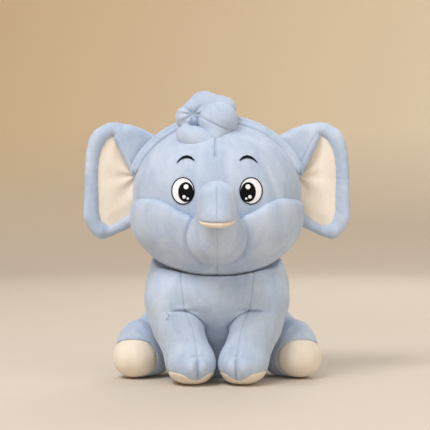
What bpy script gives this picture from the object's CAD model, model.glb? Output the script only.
# %% [markdown]
# # A sitting plush elephant
# This lesson dresses an assembly made in CAD: every CAD part gets a cloth or thread piece that looks like
# the sewn toy. The frame is shared, in metres, with the floor at zero and the front of the toy towards
# minus Y. Shapes are worked out in millimetres, because that is how a pattern cutter would measure them,
# and scaled once when a mesh is made.
# %% The shared frame
import math
import bpy
import numpy as np
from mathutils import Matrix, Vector


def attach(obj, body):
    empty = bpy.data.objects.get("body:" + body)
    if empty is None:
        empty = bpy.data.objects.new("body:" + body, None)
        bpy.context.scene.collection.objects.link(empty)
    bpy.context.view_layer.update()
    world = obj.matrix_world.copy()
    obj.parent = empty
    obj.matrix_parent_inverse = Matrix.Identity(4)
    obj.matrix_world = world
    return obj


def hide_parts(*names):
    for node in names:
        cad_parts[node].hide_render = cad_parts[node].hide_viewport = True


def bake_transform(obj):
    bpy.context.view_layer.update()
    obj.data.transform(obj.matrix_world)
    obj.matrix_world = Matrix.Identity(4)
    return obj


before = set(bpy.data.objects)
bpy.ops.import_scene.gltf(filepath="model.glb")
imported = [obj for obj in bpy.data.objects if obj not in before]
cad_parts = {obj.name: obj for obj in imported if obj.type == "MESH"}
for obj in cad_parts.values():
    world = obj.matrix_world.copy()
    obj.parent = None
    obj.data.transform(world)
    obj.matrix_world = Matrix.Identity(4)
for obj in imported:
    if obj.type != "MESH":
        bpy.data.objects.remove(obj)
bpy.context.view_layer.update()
print("CAD nodes:", len(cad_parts))

# %% [markdown]
# ## Soft shapes
# A stuffed toy has no flat face and no sharp edge: stuffing pushes every panel into a smooth pillow. Such
# forms could be sculpted by hand or subdivided from a cage. Here each one is a distance function: it gives,
# for any point, how far it is from the surface, negative inside. Distances can be joined and cut softly,
# which is just what stuffing and seams do to cloth.
# %% Millimetres, and how fine the grid is
MM = 0.001
COARSE = 1.0
print("one millimetre is", MM, "m; grid steps are multiplied by", COARSE)


# %% Two basic forms: a stretched ball and a tapering rod
def egg(p, centre, half_sizes, lean=0.0):
    q = p - np.array(centre, float)
    if lean:
        c, s = math.cos(math.radians(lean)), math.sin(math.radians(lean))
        q = np.stack([q[:, 0] * c - q[:, 2] * s, q[:, 1], q[:, 0] * s + q[:, 2] * c], 1)
    sizes = np.array(half_sizes, float)
    near = np.linalg.norm(q / sizes, axis=1)
    steep = np.linalg.norm(q / sizes**2, axis=1)
    return near * (near - 1) / np.maximum(steep, 1e-9)


def rod(p, start, end, start_radius, end_radius):
    a, b = np.array(start, float), np.array(end, float)
    share = np.clip((p - a) @ (b - a) / ((b - a) @ (b - a)), 0, 1)
    gap = np.linalg.norm(p - a - share[:, None] * (b - a), axis=1)
    return gap - (start_radius + (end_radius - start_radius) * share)


print("a rod 4 mm thick is", -rod(np.zeros((1, 3)), (0, 0, -5), (0, 0, 5), 4, 4)[0], "mm deep at its middle")


# %% Joining and cutting softly
def merged(a, b, softness):
    h = np.clip(0.5 + 0.5 * (b - a) / softness, 0, 1)
    return b * (1 - h) + a * h - softness * h * (1 - h)


def trimmed(a, b, softness):
    return -merged(-a, -b, softness)


print("a soft join 8 mm wide fills its corner by", -merged(np.zeros(1), np.zeros(1), 8)[0], "mm")


# %% A hump and a ramp
def hump(value, width):
    return np.exp(-((value / width) ** 2))


def ramp(value, low, high):
    t = np.clip((value - low) / (high - low), 0, 1)
    return t * t * (3 - 2 * t)


print("a ramp is at", ramp(np.array([0.5]), 0, 1)[0], "half way")


# %% [markdown]
# ## Unevenness
# Loose fibre never fills a cover perfectly evenly: the surface rises and sinks by about half a millimetre
# over a few centimetres. A noise texture could bump it, but then outlines would stay perfect. Fourteen
# seeded sine waves of 11 to 70 mm move the surface itself, the same way on each run.
# %% The unevenness of stuffing
waves = np.random.default_rng(7)
WAVE_DIRECTIONS = waves.normal(size=(14, 3))
WAVE_DIRECTIONS /= np.linalg.norm(WAVE_DIRECTIONS, axis=1)[:, None]
WAVE_LENGTHS = np.array([70, 62, 55, 48, 40, 36, 31, 27, 23, 19, 16, 14, 12, 11.0])
WAVE_STARTS = waves.uniform(0, 6.28, 14)


def uneven(p, amount):
    """The soft unevenness of a stuffed cover."""
    total = np.zeros(len(p))
    for n in range(len(WAVE_LENGTHS)):
        phase = p @ WAVE_DIRECTIONS[n] * (2 * math.pi / WAVE_LENGTHS[n]) + WAVE_STARTS[n]
        total += np.sin(phase) * WAVE_LENGTHS[n] / 70
    return total * amount * 0.3


# %% [markdown]
# ## From distances to a mesh
# The functions say where cloth is, but Blender draws faces. Marching cubes or a remesh modifier could find
# them. Surface nets are used instead: one point in each grid cell the surface passes through, a four-sided
# face across each grid edge it crosses, and then each point is pulled exactly onto the surface. The result
# is closed and even, and it needs no modifier.
# %% The corners and edges of one grid cell
CORNERS = [(i, j, k) for i in (0, 1) for j in (0, 1) for k in (0, 1)]
EDGES = [(a, b) for a in CORNERS for b in CORNERS if a < b and sum(abs(x - y) for x, y in zip(a, b)) == 1]


print(len(CORNERS), "corners and", len(EDGES), "edges")


# %% Where the surface passes
def crossing_points(value, low, step):
    """One point in each cell of the grid that the surface passes through."""
    inside = value < 0
    count = np.zeros([n - 1 for n in value.shape], int)
    for i, j, k in CORNERS:
        count += inside[i:value.shape[0] - 1 + i, j:value.shape[1] - 1 + j, k:value.shape[2] - 1 + k]
    mixed = (count > 0) & (count < 8)
    cells = np.argwhere(mixed)
    total, hits = np.zeros((len(cells), 3)), np.zeros(len(cells))
    for a, b in EDGES:
        va, vb = value[tuple((cells + a).T)], value[tuple((cells + b).T)]
        crosses = (va < 0) != (vb < 0)
        t = np.where(crosses, va / np.where(crosses, va - vb, 1), 0)
        total += (np.array(a) + t[:, None] * (np.array(b) - np.array(a))) * crosses[:, None]
        hits += crosses
    return low + (cells + total / hits[:, None]) * step, mixed


# %% The faces between those points
def faces_between(value, mixed):
    """A four-sided face for each grid edge that the surface crosses, facing outwards."""
    inside = value < 0
    number = -np.ones(mixed.shape, int)
    number[mixed] = np.arange(mixed.sum())
    quads = []
    for axis in range(3):
        one, two = (axis + 1) % 3, (axis + 2) % 3
        here, there = [slice(None)] * 3, [slice(None)] * 3
        here[axis], there[axis] = slice(0, -1), slice(1, None)
        a, b = inside[tuple(here)], inside[tuple(there)]
        at = np.argwhere(a != b)
        fits = (at[:, one] > 0) & (at[:, two] > 0)
        fits &= (at[:, one] < mixed.shape[one]) & (at[:, two] < mixed.shape[two])
        at = at[fits]
        back_one, back_two = np.zeros(3, int), np.zeros(3, int)
        back_one[one], back_two[two] = 1, 1
        ring = [at - back_one - back_two, at - back_two, at, at - back_one]
        quad = np.stack([number[tuple(r.T)] for r in ring], 1)
        inward = ~a[tuple(at.T)]
        quad[inward] = quad[inward][:, ::-1]
        quads.append(quad)
    quads = np.concatenate(quads)
    return quads[(quads >= 0).all(1)]


# %% Pulling the points onto the surface
def pulled(depth, place, step):
    """Three steps along the slope put each point on the surface; nothing goes below the floor."""
    for _ in range(3):
        d = depth(place)
        slope = np.stack([depth(place + e) - depth(place - e) for e in np.eye(3) * 0.25], 1) / 0.5
        slope /= np.maximum((slope**2).sum(1), 0.2)[:, None]
        place = place - np.clip(d, -step, step)[:, None] * slope * 0.9
    place[:, 2] = np.maximum(place[:, 2], 0.0)
    return place


# %% Growing one closed body
def grown(depth, low, high, step):
    low = np.array(low, float)
    axes = [np.arange(a, b + step, step) for a, b in zip(low, high)]
    points = np.stack(np.meshgrid(*axes, indexing="ij"), -1).reshape(-1, 3)
    value = depth(points).reshape([len(a) for a in axes])
    place, mixed = crossing_points(value, low, step)
    return pulled(depth, place, step), faces_between(value, mixed)


ball = grown(lambda p: egg(p, (0, 0, 20), (10, 10, 10)), (-12, -12, 8), (12, 12, 32), 2)
print("a test ball grew", len(ball[0]), "points and", len(ball[1]), "faces")


# %% [markdown]
# ## One sewn piece
# On the toy each panel is a piece of cloth of its own, with its edges turned in at the seam. Panels could
# be one mesh with painted seam lines. Here each panel is a closed body with rolled edges, so a seam is two
# real edges that meet, and it shadows itself. The function also ties the piece to the moving body it is
# sewn to and names the CAD parts it stands for.
# %% From a grown body to a sewn piece in the scene
def cover(name, panels, low, high, step, material, body, stands_for):
    """Grows one sewn piece, of one panel or several, and ties it to its CAD body and nodes."""
    places, faces, start = [], [], 0
    for panel in panels if isinstance(panels, list) else [panels]:
        place, quads = grown(panel, low, high, step * COARSE)
        places.append(place)
        faces.append(quads + start)
        start += len(place)
    place, quads = np.concatenate(places), np.concatenate(faces)
    mesh = bpy.data.meshes.new(name)
    mesh.from_pydata((place * MM).tolist(), [], quads.tolist())
    mesh.polygons.foreach_set("use_smooth", [True] * len(mesh.polygons))
    mesh.materials.append(material)
    mesh.update()
    piece = bpy.data.objects.new(name, mesh)
    bpy.context.scene.collection.objects.link(piece)
    if isinstance(body, str):
        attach(piece, body)
    else:
        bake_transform(piece)
    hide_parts(*stands_for)
    print(name, len(quads), "faces")
    return piece


# %% [markdown]
# ## Cloth and thread
# A hex code is how a dye is written down, for a screen. The renderer counts light, so one function turns
# each code into linear values, and every colour in the lesson goes through it.
# %% Colours from hex codes
def colour(code):
    parts = [int(code[i:i + 2], 16) / 255 for i in (1, 3, 5)]
    return [c / 12.92 if c <= 0.04045 else ((c + 0.055) / 1.055) ** 2.4 for c in parts] + [1.0]


print("mid grey #808080 in linear light:", [round(c, 3) for c in colour("#808080")])


# %% Adding a node with its settings and links
def node(tree, kind, links=None, **values):
    """Adds a node with its settings, and joins its inputs to the outputs given in links."""
    made = tree.nodes.new(kind)
    for key, value in values.items():
        if hasattr(made, key):
            setattr(made, key, value)
        else:
            made.inputs[key.replace("_", " ")].default_value = value
    for socket, output in (links or {}).items():
        tree.links.new(output, made.inputs[socket])
    return made


# %% [markdown]
# ## Brushed plush
# The toy's cloth is short-pile polyester plush: knitted, sheared to about a millimetre and a half, then
# brushed. Fur could be made from hair strands, but this pile is too short to show single fibres. Three
# noises of real sizes stand for it: brush marks 26 mm long, mottling of 2.4 mm, and a nap of half a
# millimetre that also lifts the surface. Sheen gives the pale rim that brushed fibres show at a glancing
# angle.
# %% The brushed plush
def per_metre(size_mm):
    """How often a pattern of that size repeats in a metre, which is what a texture's scale asks for."""
    return 1 / (size_mm * MM)


def brushed_plush(name, dark, light, sheen_colour, sheen):
    made = bpy.data.materials.new(name)
    made.use_nodes = True
    tree = made.node_tree
    shader = tree.nodes["Principled BSDF"]
    where = node(tree, "ShaderNodeTexCoord").outputs["Object"]
    stretch = node(tree, "ShaderNodeMapping", {"Vector": where}, Scale=(1.0, 1.0, 0.45))
    marks = node(tree, "ShaderNodeTexNoise", {"Vector": stretch.outputs["Vector"]},
                 Scale=per_metre(26.3), Detail=3.0, Roughness=0.6, Distortion=0.6)
    mottle = node(tree, "ShaderNodeTexNoise", {"Vector": where}, Scale=per_metre(2.38), Detail=2.0, Roughness=0.7)
    nap = node(tree, "ShaderNodeTexNoise", {"Vector": where}, Scale=per_metre(0.526), Detail=2.0, Roughness=0.7)
    both = node(tree, "ShaderNodeMath", {0: mottle.outputs["Fac"], 2: marks.outputs["Fac"]}, operation="MULTIPLY_ADD")
    both.inputs[1].default_value = 0.35
    shades = node(tree, "ShaderNodeValToRGB", {"Fac": both.outputs["Value"]})
    for stop, at, code in zip(shades.color_ramp.elements, (0.42, 0.92), (dark, light)):
        stop.position, stop.color = at, colour(code)
    lift = node(tree, "ShaderNodeBump", {"Height": nap.outputs["Fac"]}, Strength=0.35, Distance=0.4 * MM)
    tree.links.new(shades.outputs["Color"], shader.inputs["Base Color"])
    tree.links.new(lift.outputs["Normal"], shader.inputs["Normal"])
    shader.inputs["Roughness"].default_value = 0.92
    shader.inputs["Specular IOR Level"].default_value = 0.15
    shader.inputs["Sheen Weight"].default_value = sheen
    shader.inputs["Sheen Roughness"].default_value = 0.45
    shader.inputs["Sheen Tint"].default_value = colour(sheen_colour)
    return made


# %% [markdown]
# ## Embroidery thread
# Eyes and brows are machine embroidery in satin stitch: rayon thread laid side by side in rows, smooth
# along each thread and grooved between two of them. Each thread could be a curve, but a wave texture that
# shades and lifts the rows gives the same look. Real rows are 0.4 mm apart, too fine to show here, so they
# are drawn 0.93 mm apart.
# %% The satin stitch
ROW_MM = 0.93
ROW_SCALE = 2 * math.pi / (10 * math.sqrt(3) * ROW_MM * MM)  # a diagonal wave repeats this often
print("thread rows:", round(ROW_SCALE), "as a wave texture's scale")


def satin_thread(name, dark, light, gloss):
    made = bpy.data.materials.new(name)
    made.use_nodes = True
    tree = made.node_tree
    shader = tree.nodes["Principled BSDF"]
    where = node(tree, "ShaderNodeTexCoord").outputs["Object"]
    rows = node(tree, "ShaderNodeTexWave", {"Vector": where}, Scale=ROW_SCALE, Distortion=0.8, Detail=1.0,
                bands_direction="DIAGONAL")
    shades = node(tree, "ShaderNodeValToRGB", {"Fac": rows.outputs["Fac"]})
    for stop, code in zip(shades.color_ramp.elements, (dark, light)):
        stop.color = colour(code)
    lift = node(tree, "ShaderNodeBump", {"Height": rows.outputs["Fac"]}, Strength=0.3, Distance=0.2 * MM)
    tree.links.new(shades.outputs["Color"], shader.inputs["Base Color"])
    tree.links.new(lift.outputs["Normal"], shader.inputs["Normal"])
    shader.inputs["Roughness"].default_value = gloss
    shader.inputs["Specular IOR Level"].default_value = 0.12
    return made


# %% The four finishes of this toy
# Pale blue dye on polyester plush: soft, matt, a little darker where the nap lies the other way.
BLUE = brushed_plush("blue_plush", "#a0b2c9", "#c0ccdd", "#e8ecf4", 0.35)
# The same plush left undyed, for ears, soles and the trunk cap.
CREAM = brushed_plush("cream_plush", "#ddd2c1", "#ebe2d3", "#fffaf0", 0.2)
# Black rayon thread drinks light; white rayon thread stays clean and a little bluish.
BLACK = satin_thread("black_embroidery", "#020203", "#07080b", 0.6)
WHITE = satin_thread("white_embroidery", "#e4e7ee", "#f2f4f9", 0.5)
print("materials:", [m.name for m in (BLUE, CREAM, BLACK, WHITE)])

# %% [markdown]
# ## The head
# The real head is a stuffed ball of four panels: forehead, back, and two cheeks that puff out over the
# forehead's lower edge. A stretched ball could be scaled from a sphere, but its outline would be too
# regular. Here the skull, the cheeks and the chin are three stretched balls joined softly, and the cheek
# panels are rolled over along a curved line.
# %% Sizes of the head
SKULL = ((0, -24, 237.5), (109, 92, 94))
CHEEKS = ((0, -43, 204), (108.5, 78, 66))
CHIN = ((0, -66, 197.5), (94, 53.5, 61.5))
CHEEK_LINE_X = [0, 22, 31, 41, 51, 61, 72, 87, 101, 115]
CHEEK_LINE_Z = [205, 207, 209.5, 213.5, 219, 225, 229.5, 232, 231.5, 229]
SEAM = 3.0
ROOT = np.array([0, -110.4, 184.0])


print("the head is", 2 * SKULL[1][0], "mm wide and", 2 * SKULL[1][2], "mm high")


# %% The skull and the line where the cheeks begin
def skull(p):
    return egg(p, *SKULL)


def cheek_height(p):
    line = np.interp(np.abs(p[:, 0]), CHEEK_LINE_X, CHEEK_LINE_Z)
    return line - 82 * ramp(p[:, 1], -45, 75)


print("the cheek line is", cheek_height(np.array([[0.0, -100, 0]]))[0], "mm up in the middle")


# %% The puffed cheeks
def cheek_shape(p):
    lower = merged(egg(p, *CHEEKS), egg(p, *CHIN), 14)
    both = merged(skull(p), lower, 14)
    puff = 1.6 + 1.4 * hump(p[:, 2] - cheek_height(p) + 12, 14) * ramp(-p[:, 1], 10, 60)
    rolled = trimmed(both - puff, (p[:, 2] - cheek_height(p)) * 0.93, 8)
    crease = 3.0 * hump(np.linalg.norm(p - ROOT, axis=1) - 37, 4)
    return rolled + crease + uneven(p, 0.5)


print("the cheeks start", round(float(cheek_shape(np.array([[0.0, -140, 190]]))[0]), 1), "mm behind y = -140")


# %% The forehead's dart and the seam to the back of the head
def skull_shape(p):
    d = trimmed(skull(p), cheek_height(p) - 5 - p[:, 2], 3)
    dart = hump(p[:, 0] + 2, 1.1) * ramp(p[:, 2], 281, 286) * ramp(-p[:, 2], -316, -306)
    pucker = hump(np.hypot(p[:, 0] + 2, p[:, 2] - 283), 2.6)
    shoulders = hump(np.abs(p[:, 0] + 2) - 5, 4) * hump(p[:, 2] - 295, 13)
    front = p[:, 1] < -30
    return d + (2.8 * dart + 1.6 * pucker - 1.0 * shoulders) * front + uneven(p, 0.45)


def forehead(p):
    return trimmed(skull_shape(p), p[:, 1] + 32.5, SEAM)


def head_back(p):
    halves = trimmed(skull_shape(p), -p[:, 1] - 33.5, SEAM)
    return halves + 1.2 * hump(p[:, 0], 1.3)


# %% Sewing the head
cover("forehead", forehead, (-113, -122, 150), (113, -28, 336), 1.3, BLUE, "head",
      ["head_forehead_panel"])
cover("head_back", head_back, (-113, -36, 140), (113, 74, 336), 2.2, BLUE, "head",
      ["head_back_panel", "head_stuffing"])
for side, name in ((1, "left"), (-1, "right")):
    def half_cheek(p, side=side):
        return trimmed(cheek_shape(p), -side * p[:, 0] - 0.5, SEAM)
    cover("cheek_" + name, half_cheek, (-118 if side < 0 else -6, -130, 126), (6 if side < 0 else 118, 60, 240),
          1.7, BLUE, "head", ["cheek_" + name + "_panel"])

# %% [markdown]
# ## The trunk
# The trunk is a stuffed tube of two halves that rises from a dome between the cheeks, curls over and ends
# in a pale cap sewn across its tip. A curve with a bevel would make the tube, but not the dome or the
# change of thickness. Rods that taper, joined softly, give all of it, and a tilted plane cuts off the tip
# for the cap.
# %% Sizes of the trunk
BEND = (0, -166, 229)
TIP = (0, -176.4, 207.7)
CAP_WAY = np.array([0, 0.19, -0.982])


print("the trunk curls over", BEND[2] - TIP[2], "mm above its tip")


# %% The tip and the blue tube
def past_tip(p):
    return (p - np.array(TIP)) @ CAP_WAY


def tip_tube(p):
    return trimmed(rod(p, BEND, TIP, 23.8, 21.5), past_tip(p) - 8.3, 9)


def trunk_shape(p):
    """The blue part: a dome, the rising neck and the curl, down to the edge of the pale cap."""
    dome = egg(p, (0, -114, 182.5), (35.8, 35, 33))
    neck = rod(p, (0, -124, 190), (0, -150, 221), 29, 24)
    end = trimmed(tip_tube(p), past_tip(p) - 1.2, 3)
    folds = 0.6 * np.cos((p[:, 2] + 0.4 * p[:, 1]) / 2.6) * hump(p[:, 1] + 133, 9) * ramp(p[:, 2], 214, 226)
    return merged(merged(dome, neck, 16), end, 5) + folds + uneven(p, 0.35)


def trunk_cap(p):
    return trimmed(tip_tube(p) - 0.3 + uneven(p, 0.2), -past_tip(p) + 0.6, 4)


# %% Sewing the trunk
for side, name in ((1, "left"), (-1, "right")):
    def half_trunk(p, side=side):
        return trimmed(trunk_shape(p), -side * p[:, 0] - 0.35, 1.8)
    cover("trunk_" + name, half_trunk, (-42 if side < 0 else -5, -205, 142), (5 if side < 0 else 42, -72, 262),
          1.5, BLUE, "trunk", ["trunk_" + name + "_panel"] + (["trunk_stuffing"] if side > 0 else []))
cover("trunk_cap", trunk_cap, (-30, -206, 190), (30, -144, 222), 1.3, CREAM, "trunk",
      ["trunk_tip_cap"])

# %% [markdown]
# ## Eyes and brows
# On the toy they are satin stitch, thread laid over the cloth until it stands a millimetre or so proud.
# They could be painted in the material, but then they would not catch light at their edges. Each colour of
# thread is a thin raised piece that follows the forehead, cut to its outline.
# %% Where an eye sits, and raised stitching
EYE = (42.0, 241.0)
EYE_HALF = (14.6, 17.0)


def oval(p, x, z, half_x, half_z):
    flat = np.stack([p[:, 0], np.zeros(len(p)), p[:, 2]], 1)
    return egg(flat, (x, 0, z), (half_x, 1.0, half_z))


def raised(p, plan, height, softness=1.0):
    """A patch of stitching of that height over the face, inside a plan shape."""
    on_face = np.abs(skull(p) + uneven(p, 0.45)) - height
    return trimmed(on_face, plan, softness)


THREADS = {"black": (BLACK, "black_embroidery"), "white": (WHITE, "white_embroidery")}


def stitched(name, plan, height, low, high, shade, step):
    """Stitching in thread of that shade, between two corners of the face."""
    thread, slot = THREADS[shade]
    cover(name, lambda p: raised(p, plan(p), height), (low[0], -122, low[1]), (high[0], -90, high[1]),
          step, thread, "head", [name])


print("an eye is", 2 * EYE_HALF[0], "by", 2 * EYE_HALF[1], "mm")


# %% Outlines of the brow and the glints
BROW = [(-7.7, 35.3, 0.5), (-4, 39.2, 1.1), (0.5, 41.8, 1.7), (5, 42.6, 1.9), (9.5, 41.3, 1.6), (13.6, 38.0, 0.8)]
GLINTS = [(4.0, 5.0, 3.2), (1.5, -7.4, 2.3), (6.1, -9.5, 1.6)]
print("a brow is drawn through", len(BROW), "points")

# %% Stitching both eyes
for side, name in ((1, "left"), (-1, "right")):
    x, z = side * EYE[0], EYE[1]
    low, high = (x - 18, z - 20), (x + 18, z + 20)

    def full(p, x=x):
        return oval(p, x, EYE[1], *EYE_HALF)

    def ring(p, full=full):
        return np.abs(full(p) + 0.75) - 0.75

    def ball_white(p, full=full):
        return full(p) + 1.2

    def pupil(p, full=full, x=x, side=side):
        return np.maximum(oval(p, x - side * 3.6, EYE[1] - 1.4, 9.6, 12.4), full(p) + 0.6)

    def glint(p, x=x, side=side):
        return np.minimum.reduce([
            np.hypot(p[:, 0] - x + side * gx, p[:, 2] - EYE[1] - gz) - r for gx, gz, r in GLINTS])

    def brow(p, x=x, side=side):
        parts = []
        flat = np.stack([p[:, 0], np.zeros(len(p)), p[:, 2]], 1)
        for (ax, az, ar), (bx, bz, br) in zip(BROW, BROW[1:]):
            parts.append(rod(flat, (x - side * ax, 0, EYE[1] + az), (x - side * bx, 0, EYE[1] + bz), ar, br))
        return np.minimum.reduce(parts)

    above = (x - 18, z + 31), (x + 18, z + 48)
    for part, plan, height, box, shade, step in (
            ("outline", ring, 1.3, (low, high), "black", 0.6), ("white", ball_white, 0.9, (low, high), "white", 0.6),
            ("pupil", pupil, 1.4, (low, high), "black", 0.6), ("glints", glint, 1.9, (low, high), "white", 0.5),
            ("brow", brow, 1.3, above, "black", 0.5)):
        stitched("eye_" + name + "_" + part, plan, height, *box, shade, step)

# %% [markdown]
# ## The ears
# Each ear is a flat stuffed piece: a fat rolled rim around a sunken pale panel, folded over at the top
# front where it meets the head. A flat mesh could be given thickness with a modifier, but rim and panel
# have to swell differently. The two outlines are drawn flat, turned into tables of distances, and used to
# steer a roll, a pillow and a back.
# %% The ear's outlines
HINGE_X, HINGE_Z = 109.0, 240.0
EAR_EDGE = [
    (71, 265), (76, 304), (90, 318), (106, 325), (135, 331), (151, 326), (163, 316), (169, 297),
    (171.5, 273), (173, 243), (174, 220), (173.5, 205), (168, 194), (160, 183), (150, 178.5), (135, 184),
    (120, 191), (108, 197), (82, 215),
]
PANEL_EDGE = [
    (90, 262), (104, 272), (117, 292), (128, 311), (136, 313), (146, 303), (152, 285), (154, 262),
    (153.5, 235), (153, 213), (149, 202), (141, 198), (130, 202), (118, 210), (104, 219), (90, 226),
]
GRID = 1.0


print("the ear's edge has", len(EAR_EDGE), "points")


# %% A smooth line through those points
def smooth_loop(points, steps=14):
    out = []
    n = len(points)
    for i in range(n):
        a, b, c, d = (np.array(points[(i + k) % n], float) for k in (-1, 0, 1, 2))
        for t in np.linspace(0, 1, steps, endpoint=False):
            bend, twist = 2 * a - 5 * b + 4 * c - d, 3 * b - a - 3 * c + d
            out.append(0.5 * (2 * b + (c - a) * t + bend * t**2 + twist * t**3))
    return np.array(out)


print("smoothed to", len(smooth_loop(EAR_EDGE)), "points")


# %% Distances to a flat outline
def plan_table(loop, low, high):
    """Distances to a closed outline on a flat grid, negative inside."""
    xs, zs = np.arange(low[0], high[0], GRID), np.arange(low[1], high[1], GRID)
    q = np.stack(np.meshgrid(xs, zs, indexing="ij"), -1).reshape(-1, 2)
    best = np.full(len(q), 1e9)
    within = np.zeros(len(q), bool)
    for a, b in zip(loop, np.roll(loop, -1, axis=0)):
        ab = b - a
        t = np.clip((q - a) @ ab / max(ab @ ab, 1e-9), 0, 1)
        best = np.minimum(best, np.linalg.norm(q - a - t[:, None] * ab, axis=1))
        spans = (a[1] > q[:, 1]) != (b[1] > q[:, 1])
        cut = a[0] + (q[:, 1] - a[1]) * ab[0] / (ab[1] if abs(ab[1]) > 1e-9 else 1e-9)
        within ^= spans & (q[:, 0] < cut)
    return low, np.where(within, -best, best).reshape(len(xs), len(zs))


def read_plan(table, x, z):
    low, values = table
    u = np.clip((x - low[0]) / GRID, 0, values.shape[0] - 1.001)
    v = np.clip((z - low[1]) / GRID, 0, values.shape[1] - 1.001)
    i, j = u.astype(int), v.astype(int)
    fu, fv = u - i, v - j
    return (values[i, j] * (1 - fu) * (1 - fv) + values[i + 1, j] * fu * (1 - fv)
            + values[i, j + 1] * (1 - fu) * fv + values[i + 1, j + 1] * fu * fv)


# %% The ear's tables and how it cups forward
EAR_PLAN = plan_table(smooth_loop(EAR_EDGE), (60, 160), (190, 350))
PANEL_PLAN = plan_table(smooth_loop(PANEL_EDGE), (60, 160), (190, 350))
FLAP_EDGE = [(72, 306), (100, 266), (106, 262), (118, 284), (129, 306), (132, 320), (116, 326), (96, 320)]
FLAP_PLAN = plan_table(smooth_loop(FLAP_EDGE), (60, 160), (190, 350))


def ear_middle(x):
    """How far forward the ear's middle lies: it cups forwards towards its edge."""
    return -5.5 - 9.0 * np.clip((x - HINGE_X) / 62, 0, 1.2) ** 2


print("the ear's tip cups forward by", round(float(-ear_middle(171.0)), 1), "mm")


# %% The rolled rim and its fold
def ear_rim(p):
    """The rim is a roll that fills the room between the ear's edge and the pale panel's edge."""
    x, z = p[:, 0], p[:, 2]
    edge = read_plan(EAR_PLAN, x, z)
    panel = read_plan(PANEL_PLAN, x, z)
    half = np.clip((panel - edge) / 2, 3, 6.2 + np.clip(x - 84, 0, 28) * 0.16)
    across = np.abs(edge + half)
    y = p[:, 1] - ear_middle(x)
    tube = np.hypot(across, y) - half
    flap_edge = read_plan(FLAP_PLAN, x, z)
    thick = 4.5 + 4.0 * ramp(x, 78, 118)
    flap = trimmed(np.abs(p[:, 1] + 12) - thick, flap_edge + 1, 9)
    fold = rod(p, (127, -15, 309), (105, -17, 262), 6.5, 5.0)
    whole = merged(merged(tube, flap, 7), fold, 4)
    line = (x - 103) * 0.885 - (z - 268) * 0.466
    whole = whole + 1.6 * hump(line - 0.5, 1.5) * ramp(z, 264, 276) * ramp(-z, -318, -308) * (p[:, 1] < -12)
    round_about = np.arctan2(z - 255, x - 120)
    ripples = 0.22 * np.sin(29 * round_about + 0.5 * np.sin(5 * round_about))
    return whole + ripples * hump(y + 4, 9) + uneven(p, 0.4)


# %% The ear's back and its sunken panel
def ear_back(p):
    edge = read_plan(EAR_PLAN, p[:, 0], p[:, 2])
    y = p[:, 1] - ear_middle(p[:, 0])
    back = trimmed(np.abs(y - 4.2) - 5.6 - 2.0 * ramp(-edge, 5, 40), edge + 4, 9)
    clear_of_cheek = 103 - p[:, 0] - 0.6 * np.clip(p[:, 2] - 230, 0, 60)
    return trimmed(back, clear_of_cheek, 4) + uneven(p, 0.5)


def ear_panel(p):
    x, z = p[:, 0], p[:, 2]
    edge = read_plan(PANEL_PLAN, x, z)
    y = p[:, 1] - ear_middle(x)
    from_root = np.hypot(x - 104, z - 262)
    way = np.arctan2(z - 262, x - 104)
    folds = 1.5 * np.cos(7 * way + 0.6) * hump(from_root - 14, 20) + 0.5 * np.sin(z / 7 + x / 11) * hump(x - 112, 22)
    pillow = 1.8 * ramp(-edge, 0, 16)
    return trimmed(np.abs(y + 1.2) - 2.6 - pillow + folds, edge - 3, 3)


# %% Sewing both ears
for side, name in ((1, "left"), (-1, "right")):
    def mirrored(shape, side=side):
        return lambda p: shape(p * np.array([side, 1, 1]))
    x_low, x_high = (62, 182) if side > 0 else (-182, -62)
    body = "ear_" + name
    cover(body + "_rim", mirrored(ear_rim), (x_low, -32, 170), (x_high, 14, 342), 1.5, BLUE, body,
          [body + "_rim"])
    cover(body + "_back", mirrored(ear_back), (x_low, -24, 170), (x_high, 14, 342), 1.9, BLUE, body,
          [body + "_back_panel", body + "_padding"])
    cover(body + "_inner", mirrored(ear_panel), (x_low, -26, 180), (x_high, 8, 334), 1.5, CREAM, body,
          [body + "_inner_panel"])

# %% [markdown]
# ## Headband and knot
# A padded strip of cloth runs over the head in two ridges and is tied on top in a knot of two fat loops.
# Cloth simulation could tie it, but the knot would not stay as planned. The strip is a pair of rounded
# ridges at a fixed distance from the skull that sink into it at the ears. The knot is a few stretched balls
# and rods, gathered where the cloth is pinched.
# %% The headband
BAND_Y = -33.0


def strap(p):
    height = skull(p)
    front = np.hypot(height - 1.7, p[:, 1] - BAND_Y + 5.2) - 3.6
    rear = np.hypot(height - 4.4, p[:, 1] - BAND_Y - 2.8) - 4.9
    both = merged(front, rear, 0.8)
    both = both + 5.5 * ramp(-p[:, 2], -272, -256)
    return trimmed(both, 255 - p[:, 2], 6) + uneven(p, 0.3)


print("the band lies at y =", BAND_Y, "mm")


# %% The gathers at the pinch
PINCH = (-31.0, 338.0)


def knot_folds(p):
    """Gathers running out from the pinch."""
    reach = np.hypot(p[:, 0] - PINCH[0], p[:, 2] - PINCH[1])
    way = np.arctan2(p[:, 2] - PINCH[1], p[:, 0] - PINCH[0])
    gathers = 1.5 * np.cos(8 * way + 0.8 * np.sin(2 * way)) * hump(reach - 9, 9)
    return (gathers + 5.0 * hump(reach, 6)) * ramp(-p[:, 1], 45, 62)


# %% The two loops of the knot
def knot_front(p):
    lobe = egg(p, (1, -64, 330), (25, 21, 23.5))
    lobe = merged(lobe, egg(p, (-2, -73, 307), (12, 14, 12)), 12)
    across = p[:, 0]
    seam_line = p[:, 2] - 322.5 + 0.42 * across - 0.006 * across**2
    return lobe + 1.6 * hump(seam_line, 1.3) * ramp(-p[:, 1], 62, 72) + uneven(p, 0.5)


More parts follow.
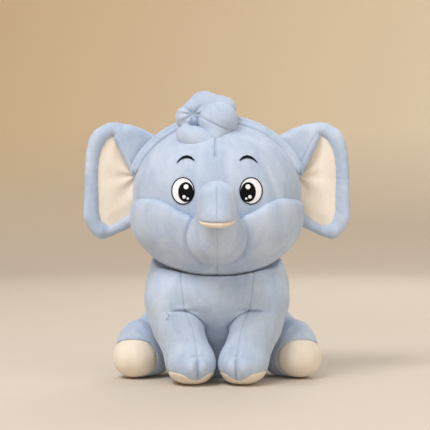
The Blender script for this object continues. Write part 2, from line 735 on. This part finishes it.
def knot_back(p):
    over = rod(p, (8, -47, 345), (-17, -50, 349), 16.5, 18)
    over = merged(over, rod(p, (-17, -50, 349), (-37, -55, 334), 18, 16), 4)
    low = egg(p, (-24, -70.5, 304.5), (29.5, 19.5, 18), 24)
    crease = p[:, 2] - 327 + 0.25 * (p[:, 0] + 40)
    return merged(over, low, 3) + 1.6 * hump(crease, 2) * ramp(-p[:, 1], 60, 72) + knot_folds(p) + uneven(p, 0.5)


# %% Sewing the headband and knot
cover("headband", strap, (-118, -46, 244), (118, -22, 342), 1.3, BLUE, "head",
      ["headband_cover", "headband_padding"])
cover("knot_front_loop", knot_front, (-32, -90, 298), (34, -34, 366), 1.3, BLUE, "head",
      ["knot_upper_loop", "knot_upper_stuffing"])
cover("knot_back_loop", knot_back, (-60, -92, 292), (38, -26, 374), 1.3, BLUE, "head",
      ["knot_lower_loop", "knot_lower_stuffing"])

# %% [markdown]
# ## Torso and legs
# The torso is a stuffed barrel of five panels, and the front legs grow out of its shoulders without a gap:
# only a short tuck is sewn across each leg's top. Separate balls for body and legs would leave a joint all
# round. One soft form is made first, and each cover is then cut from it, so that a leg is flush with the
# body and folds in only at the tuck.
# %% How wide the torso is at each height
SIDE_HEIGHTS = [0, 6, 20, 40, 60, 80, 100, 120, 134, 150, 166, 184, 205]
SIDE_RADII = [56, 64, 71, 77, 84, 91.5, 95, 95, 93.5, 90, 84, 74, 60]
FRONT_HEIGHTS = [0, 20, 40, 60, 80, 100, 116, 132, 146, 205]
FRONT_SHARES = [0.60, 0.62, 0.66, 0.76, 0.92, 1.0, 1.0, 0.94, 0.84, 0.80]
heights = np.arange(-20, 240, 1.0)


def smoothed(at, values, width=13):
    line = np.interp(heights, at, values)
    for _ in range(2):
        line = np.convolve(np.pad(line, width // 2, mode="edge"), np.ones(width) / width, mode="valid")
    return line


# A share below 1 flattens the front at that height.
radii = smoothed(SIDE_HEIGHTS, SIDE_RADII)
shares = smoothed(FRONT_HEIGHTS, FRONT_SHARES)
slopes = np.gradient(radii)
# Behind, the top closes sooner, so that the torso meets the back of the head.
BACK_HEIGHTS = [0, 6, 20, 40, 60, 80, 100, 120, 134, 150, 160, 170, 180, 188, 205]
BACK_RADII = [56, 64, 71, 77, 84, 91.5, 95, 94, 90, 79.5, 69, 55, 36, 16, 4]
back_radii = smoothed(BACK_HEIGHTS, BACK_RADII, 9)
back_slopes = np.gradient(back_radii)
print("the torso is widest,", round(2 * float(radii.max())), "mm, at height", heights[radii.argmax()], "mm")


# %% The torso alone
def barrel(p):
    """The torso alone: round behind, flatter in front, drawn in low down between the legs."""
    z = p[:, 2]
    radius, slope, share = (np.interp(z, heights, v) for v in (radii, slopes, shares))
    behind = ramp(p[:, 1], -35, 35)
    radius = radius + (np.interp(z, heights, back_radii) - radius) * behind
    slope = slope + (np.interp(z, heights, back_slopes) - slope) * behind
    ahead = np.clip(-p[:, 1], 0, None)
    y = np.where(p[:, 1] < 0, p[:, 1] / share, p[:, 1])
    side = (np.hypot(p[:, 0], y) - radius) / np.sqrt(1 + slope**2)
    return side * (1 - (1 - share) * np.clip(ahead / 70, 0, 1))


# %% A front leg, and the whole form with its tucks
TUCK_HEIGHT = 91.5


def front_leg_form(q):
    """The left front leg."""
    top = rod(q, (57, -65, 98), (50, -68, 74), 30.5, 31.5)
    shin = rod(q, (50, -68, 74), (36, -84, 36), 31.5, 29)
    paw = egg(q, (31.8, -90, 25), (31, 39, 27))
    return merged(merged(top, shin, 8), paw, 10)


def whole_form(p):
    """The torso with both front legs, where a leg's cover lies, and how softly its edge is rolled."""
    q = np.stack([np.abs(p[:, 0]), p[:, 1], p[:, 2]], 1)
    shoulder = egg(q, (54, -58, 110), (35, 34, 34))
    body = merged(barrel(p), shoulder, 20)
    leg = front_leg_form(q)
    whole = merged(body, leg, 3 + 15 * ramp(q[:, 0], 44, 76))
    tuck_line = q[:, 2] - TUCK_HEIGHT + 0.0016 * (q[:, 0] - 46) ** 2
    tuck = 3.4 * hump(tuck_line, 2.4) * hump(q[:, 0] - 43, 13) * ramp(-p[:, 1], 66, 84)
    pull = 0.8 * np.cos((q[:, 0] * 0.35 + p[:, 2]) / 2.6) * hump(q[:, 0] - 50, 16)
    pull = pull * hump(p[:, 2] - 93, 9) * ramp(-p[:, 1], 70, 86)
    cut_height = q[:, 2] - TUCK_HEIGHT + 0.022 * np.clip(45 - q[:, 0], 0, 30) ** 2
    region = trimmed(leg - 1.5, cut_height, 2)
    edge = 0.3 + 5.7 * ramp(-q[:, 0], -66, -46)
    resting = trimmed(whole + tuck + pull, -p[:, 2], 6)
    return resting + uneven(p, 0.6), region, edge


print("the tucks over the front legs are", TUCK_HEIGHT, "mm up")


# %% [markdown]
# ## Where the head meets the torso
# On the toy the head is stuffed hard and the torso's top gives way under it, so the neck is a deep fold.
# The torso could end in a simple bowl, but that leaves a gap beside the narrow parts of the head. Here the
# underside of the head itself, turned 20 degrees each way, is taken out of the torso.
# %% Room for the head to turn
HEAD_TURNS = (-20, -10, 0, 10, 20)
NECK_Y = -19
FAR = 60.0


def head_room(p):
    """The room the underside of the head takes up while it turns 20 degrees each way."""
    room = np.full(len(p), FAR)
    high = p[:, 2] > 120
    q = p[high] - [0, NECK_Y, 0]
    taken = []
    for degrees in HEAD_TURNS:
        c, s = math.cos(math.radians(degrees)), math.sin(math.radians(degrees))
        turned = np.stack([q[:, 0] * c - q[:, 1] * s, q[:, 0] * s + q[:, 1] * c + NECK_Y, q[:, 2]], 1)
        lower = merged(egg(turned, *CHEEKS), egg(turned, *CHIN), 14)
        taken.append(merged(skull(turned), lower, 14) - 2.6)
    room[high] = np.minimum.reduce(taken)
    return room


# %% The torso's panels
SINK, LAP = 0.12, 3.5
BASE_SEAM = 12.5


def lapped(whole, region, edge, x):
    """Cuts a cover at its region's border; outside the leg it laps under its neighbour and sinks a little."""
    outer = ramp(np.abs(x), 54, 64)
    return trimmed(whole + SINK * np.clip(region, 0, 9) * outer, region - 0.3 - LAP * outer, edge)


def torso_shape(p):
    whole, region, edge = whole_form(p)
    return trimmed(lapped(whole, -region, edge, p[:, 0]), -head_room(p) + 0.9, 3)


def chest_edge(p):
    """Half-width of the chest panel: it narrows towards the legs."""
    return np.interp(p[:, 2], [0, 40, 90, 142, 200], [24, 30, 40, 46.5, 46.5])


def chest(p):
    middle = trimmed(torso_shape(p), np.abs(p[:, 0]) - chest_edge(p) - 0.3, 2.2)
    middle = trimmed(middle, p[:, 1] - 0.4, SEAM)
    return trimmed(middle, BASE_SEAM - p[:, 2], SEAM)


def flank(p):
    outside = np.minimum(chest_edge(p) - 0.3 - np.abs(p[:, 0]), -p[:, 1] - 0.4)
    body = trimmed(torso_shape(p), outside, 2.2)
    return trimmed(body, BASE_SEAM - p[:, 2], SEAM)


print("the base is sewn on", BASE_SEAM, "mm up")


# %% Sewing the torso
cover("chest", chest, (-50, -104, 8), (50, 6, 175), 1.6, BLUE, "torso", ["torso_chest_panel"])
for side, name in ((1, "left"), (-1, "right")):
    def half_flank(p, side=side):
        return trimmed(flank(p), -side * p[:, 0] - 0.4, SEAM)
    cover("flank_" + name, half_flank, (-102 if side < 0 else -5, -102, 8), (5 if side < 0 else 102, 102, 205),
          1.7, BLUE, "torso", ["torso_" + name + "_panel"] + (["torso_stuffing"] if side > 0 else []))
cover("base", lambda p: trimmed(torso_shape(p), p[:, 2] - BASE_SEAM - 0.5, SEAM), (-102, -102, -4),
      (102, 102, 16), 2.0, BLUE, "torso", ["torso_base_panel"])


# %% [markdown]
# ## Front legs
# Each cover is two pieces of cloth that meet in a seam down the front. At the paw the seam is pulled in
# with a stitch, so two toes bulge beside it. A crease could be painted, but a real dip shades itself. The
# pale sole comes up in a wave at the front and is a piece of its own. The cover bends with the body at its
# top and with the leg below.
# %% The front leg's cover, toes and sole
def leg_seam(p):
    """Where the seam down the front of a front leg lies."""
    return np.interp(p[:, 2], [5, 33, 48, 70, 92], [24, 23.5, 25.7, 30.3, 40])


def front_leg(p):
    """The left front leg's outside, with its toe cleft and the pucker over it."""
    whole, region, edge = whole_form(p)
    off = p[:, 0] - leg_seam(p)
    ahead = ramp(-p[:, 1], 96, 116)
    cleft = 3.4 * hump(off, 2.5) * ahead * ramp(p[:, 2], 7, 15) * ramp(-p[:, 2], -39, -29)
    toes = -2.6 * hump(np.abs(off) - 9, 6.5) * hump(p[:, 2] - 24, 11) * ahead
    smile = 2.0 * hump(p[:, 2] - 37.5 + 0.016 * off**2, 2.0) * hump(off, 13) * ramp(-p[:, 1], 88, 106)
    gather = 0.7 * np.cos(off / 1.7) * hump(p[:, 2] - 42, 5) * hump(off, 12) * ramp(-p[:, 1], 88, 104)
    return lapped(whole, region, edge, np.maximum(p[:, 0], 0)) + cleft + toes + smile + gather


def sole_height(p):
    """How high the pale sole reaches: a wave at the front that dips at the toe seam."""
    ahead = ramp(-p[:, 1], 60, 110)
    return 9 + (8.5 - 10 * hump(p[:, 0] - 26, 13)) * ahead


print("the sole's edge dips to", round(float(sole_height(np.array([[26.0, -115, 0]]))[0]), 1), "mm at the toes")


# %% The two cover pieces and the sole
def leg_cover_inner(p):
    blue = trimmed(front_leg(p), (sole_height(p) - p[:, 2]) * 0.9, 2.2)
    return trimmed(blue, p[:, 0] - leg_seam(p) - 0.25, 1.6)


def leg_cover_outer(p):
    blue = trimmed(front_leg(p), (sole_height(p) - p[:, 2]) * 0.9, 2.2)
    return trimmed(blue, leg_seam(p) - p[:, 0] - 0.25, 1.6)


def leg_sole(p):
    return trimmed(front_leg(p) - 0.4, (p[:, 2] - sole_height(p) - 1) * 0.9, 3)


# %% [markdown]
# ## Hind legs
# The toy sits with its hind legs stretched out sideways and forward, the round pale pads facing the viewer.
# A thigh rod and three stretched balls joined softly give the fat foot, and the pad is cut from the same
# form a millimetre proud, as a padded patch sewn into a hole would stand.
# %% The hind leg and its foot pad
PAD_TURN = math.radians(15)
PAD_WAY = np.array([math.sin(PAD_TURN), -math.cos(PAD_TURN), 0])
FOOT = np.array([104.4, -31.0, 25.8])
PAD_MIDDLE, PAD_HALF = (106.8, 26.4), (30.3, 25.8)


def hind_leg(p):
    hip = rod(p, (70, 12, 58), (85, -1, 52), 37, 28.5)
    foot = merged(egg(p, (101.5, -23, 38), (29, 32, 36)), egg(p, FOOT, (30, 30.5, 26.8)), 8)
    foot = merged(foot, egg(p, (84, -12, 27), (25, 30, 27)), 8)
    leg = merged(hip, foot, 7)
    wrinkle = 1.0 * np.cos((p[:, 0] * 0.8 - p[:, 2]) / 2.6) * hump(p[:, 2] - 68, 8) * hump(p[:, 0] - 96, 11)
    return trimmed(leg + wrinkle * ramp(-p[:, 1], -5, 20) + uneven(p, 0.6), -p[:, 2], 5)


def pad_edge(p):
    ahead = (p - FOOT) @ PAD_WAY
    turn = np.arctan2(p[:, 2] - 27.5, p[:, 0] - 105)
    disc = oval(p, *PAD_MIDDLE, *PAD_HALF) + 0.5 * np.cos(4 * turn + 0.4)
    return np.maximum(disc, 2 - ahead)


def hind_cover(p):
    return trimmed(hind_leg(p), -pad_edge(p) - 0.5, 2.5)


def hind_pad(p):
    return trimmed(hind_leg(p) - 1.0, pad_edge(p), 4.5)


print("a foot pad is", 2 * PAD_HALF[0], "by", 2 * PAD_HALF[1], "mm")


# %% Sewing all four legs
for side, name in ((1, "left"), (-1, "right")):
    def mirrored(shape, side=side):
        return lambda p: shape(p * np.array([side, 1, 1]))

    def across(low, high, side=side):
        return (low, high) if side > 0 else (-high, -low)

    lo, hi = across(-6, 96)
    body = "front_leg_" + name
    fold = ("torso", body, (side * 56, -66, 94), (side * 50, -70, 68))
    cover(body + "_cover", [mirrored(leg_cover_inner), mirrored(leg_cover_outer)], (lo, -134, 0), (hi, -26, 102),
          1.5, BLUE, fold, [body + "_cover", body + "_stuffing"])
    cover(body + "_sole", mirrored(leg_sole), (lo, -134, -4), (hi, -46, 26), 1.4, CREAM, body,
          [body + "_sole"])
    lo, hi = across(26, 142)
    body = "hind_leg_" + name
    cover(body + "_cover", mirrored(hind_cover), (lo, -68, -4), (hi, 58, 104), 1.7, BLUE, body,
          [body + "_cover", body + "_stuffing"])
    cover(body + "_pad", mirrored(hind_pad), (lo, -74, -4), (hi, -18, 60), 1.4, CREAM, body,
          [body + "_foot_pad"])

# %% [markdown]
# ## The tail
# A thin stuffed tube with a small gathered tuft at its end. Hair curves could make the tuft, but on a toy
# like this it is cut from the same plush, so it is a small ball with seven gathers.
# %% The tail and its tuft
TAIL_ROOT, TAIL_END = (0, 88, 62), (0, 122, 27)


def tail(p):
    rings = 0.25 * np.cos(p[:, 2] / 2.4)
    return rod(p, TAIL_ROOT, TAIL_END, 7.4, 6.4) + rings + uneven(p, 0.3)


def tuft(p):
    way = np.arctan2(p[:, 0], p[:, 1] - 124)
    return egg(p, (0, 124.5, 24.8), (10, 9.5, 12)) + 0.8 * np.cos(7 * way) + uneven(p, 0.3)


print("the tail is", round(math.dist(TAIL_ROOT, TAIL_END)), "mm long")


# %% Sewing the tail
cover("tail", tail, (-12, 76, 14), (12, 136, 74), 1.2, BLUE, "tail",
      ["tail_cover", "tail_stuffing"])
cover("tail_tuft", tuft, (-14, 110, 8), (14, 140, 42), 1.1, BLUE, "tail", ["tail_tuft"])

# %% [markdown]
# ## Backdrop
# A product is pictured on painted paper that curves up behind it. A flat floor and a wall would show a line
# where they meet. This one is a wide round dish, so that it looks the same whichever way the camera looks:
# a pale floor, and a warmer wall that is a little darker on its left.
# %% The backdrop's paint
def painted(name, floor, wall_left, wall_right):
    made = bpy.data.materials.new(name)
    made.use_nodes = True
    tree = made.node_tree
    shader = tree.nodes["Principled BSDF"]
    where = node(tree, "ShaderNodeTexCoord").outputs["Object"]
    split = node(tree, "ShaderNodeSeparateXYZ", {"Vector": where})
    spread = node(tree, "ShaderNodeMapRange", {"Value": split.outputs["X"]}, From_Min=-0.9, From_Max=0.9)
    wall = node(tree, "ShaderNodeValToRGB", {"Fac": spread.outputs["Result"]})
    for stop, code in zip(wall.color_ramp.elements, (wall_left, wall_right)):
        stop.color = colour(code)
    lift = node(tree, "ShaderNodeMapRange", {"Value": split.outputs["Z"]}, From_Min=0.0, From_Max=0.5)
    both = node(tree, "ShaderNodeMix", {0: lift.outputs["Result"]}, data_type="RGBA")
    both.inputs[6].default_value = colour(floor)
    tree.links.new(wall.outputs["Color"], both.inputs[7])
    tree.links.new(both.outputs[2], shader.inputs["Base Color"])
    shader.inputs["Roughness"].default_value = 0.9
    return made


# %% The backdrop's shape
FLAT, CURVE, WALL_TOP, AROUND = 2.4, 1.1, 2.2, 96


def sweep():
    """A round floor that curves up into a wall far out on every side."""
    profile = [(0.02, 0.0), (1.0, 0.0), (FLAT, 0.0)]
    for n in range(1, 13):
        a = math.radians(n * 7.5)
        profile.append((FLAT + CURVE * math.sin(a), CURVE - CURVE * math.cos(a)))
    profile.append((FLAT + CURVE, WALL_TOP))
    turns = [2 * math.pi * k / AROUND for k in range(AROUND)]
    points = [(radius * math.cos(a), radius * math.sin(a), z) for radius, z in profile for a in turns]
    faces = [tuple(range(AROUND))]
    for n in range(len(profile) - 1):
        for k in range(AROUND):
            j = (k + 1) % AROUND
            inner, outer = n * AROUND, (n + 1) * AROUND
            faces.append((inner + k, outer + k, outer + j, inner + j))
    mesh = bpy.data.meshes.new("studio_sweep")
    mesh.from_pydata(points, [], faces)
    mesh.polygons.foreach_set("use_smooth", [True] * len(faces))
    mesh.materials.append(painted("studio_paper", "#cdc1b2", "#dfc7a0", "#f6e6cc"))
    paper = bpy.data.objects.new("studio_sweep", mesh)
    bpy.context.scene.collection.objects.link(paper)
    print("backdrop:", len(faces), "faces")


sweep()


# %% [markdown]
# ## Light
# A large soft lamp from the upper left models the forms, weaker ones fill the right, the front and the back
# edge, and the world gives an even level. A single hard lamp would make cloth look like plastic. The whole
# is bright enough that a colour comes out about as it is written, and no brighter.
# %% A round lamp, four times
def lamp(name, place, aim, size, power, tint):
    data = bpy.data.lights.new(name, "AREA")
    data.shape = "DISK"
    data.size = size
    data.energy = power
    data.color = colour(tint)[:3]
    light = bpy.data.objects.new(name, data)
    light.location = place
    light.rotation_euler = (Vector(aim) - Vector(place)).to_track_quat("-Z", "Y").to_euler()
    bpy.context.scene.collection.objects.link(light)


lamp("key", (-0.9, -1.3, 2.1), (0, 0, 0.15), 1.1, 39, "#fcfcff")
lamp("fill", (1.7, -1.5, 1.0), (0, 0, 0.15), 1.8, 9, "#fdfbf8")
lamp("back", (0.6, 1.9, 1.5), (0, 0, 0.15), 1.6, 16, "#fffdfa")
lamp("front", (-0.2, -2.4, 0.4), (0, 0, 0.15), 1.2, 8, "#fcfcff")

# %% The even light of the world
world = bpy.data.worlds.new("studio")
world.use_nodes = True
world.node_tree.nodes["Background"].inputs["Color"].default_value = colour("#f4f5f8")
world.node_tree.nodes["Background"].inputs["Strength"].default_value = 0.68
bpy.context.scene.world = world
print("world light:", world.node_tree.nodes["Background"].inputs["Strength"].default_value)
bpy.context.scene.view_settings.view_transform = "Standard"

# %% [markdown]
# ## Camera
# A long lens from nearly level, as a product is pictured: it keeps the proportions of the face. Moving the
# frame with the lens's shift, not by tilting, keeps upright lines upright.
# %% The camera
LENS_MM, CAMERA_AWAY, CAMERA_RISE = 109.5, 1.7, 2.0
camera_data = bpy.data.cameras.new("camera")
camera_data.lens = LENS_MM
camera_data.shift_x = -0.0047
camera_data.shift_y = 0.0723
camera = bpy.data.objects.new("camera", camera_data)
target = Vector((0, -0.020, 0.170))
rise = math.radians(CAMERA_RISE)
camera.location = target + Vector((0, -math.cos(rise), math.sin(rise))) * CAMERA_AWAY
camera.rotation_euler = (target - camera.location).to_track_quat("-Z", "Y").to_euler()
bpy.context.scene.collection.objects.link(camera)
bpy.context.scene.camera = camera
print("the camera is", CAMERA_AWAY, "m away with a lens of", LENS_MM, "mm")
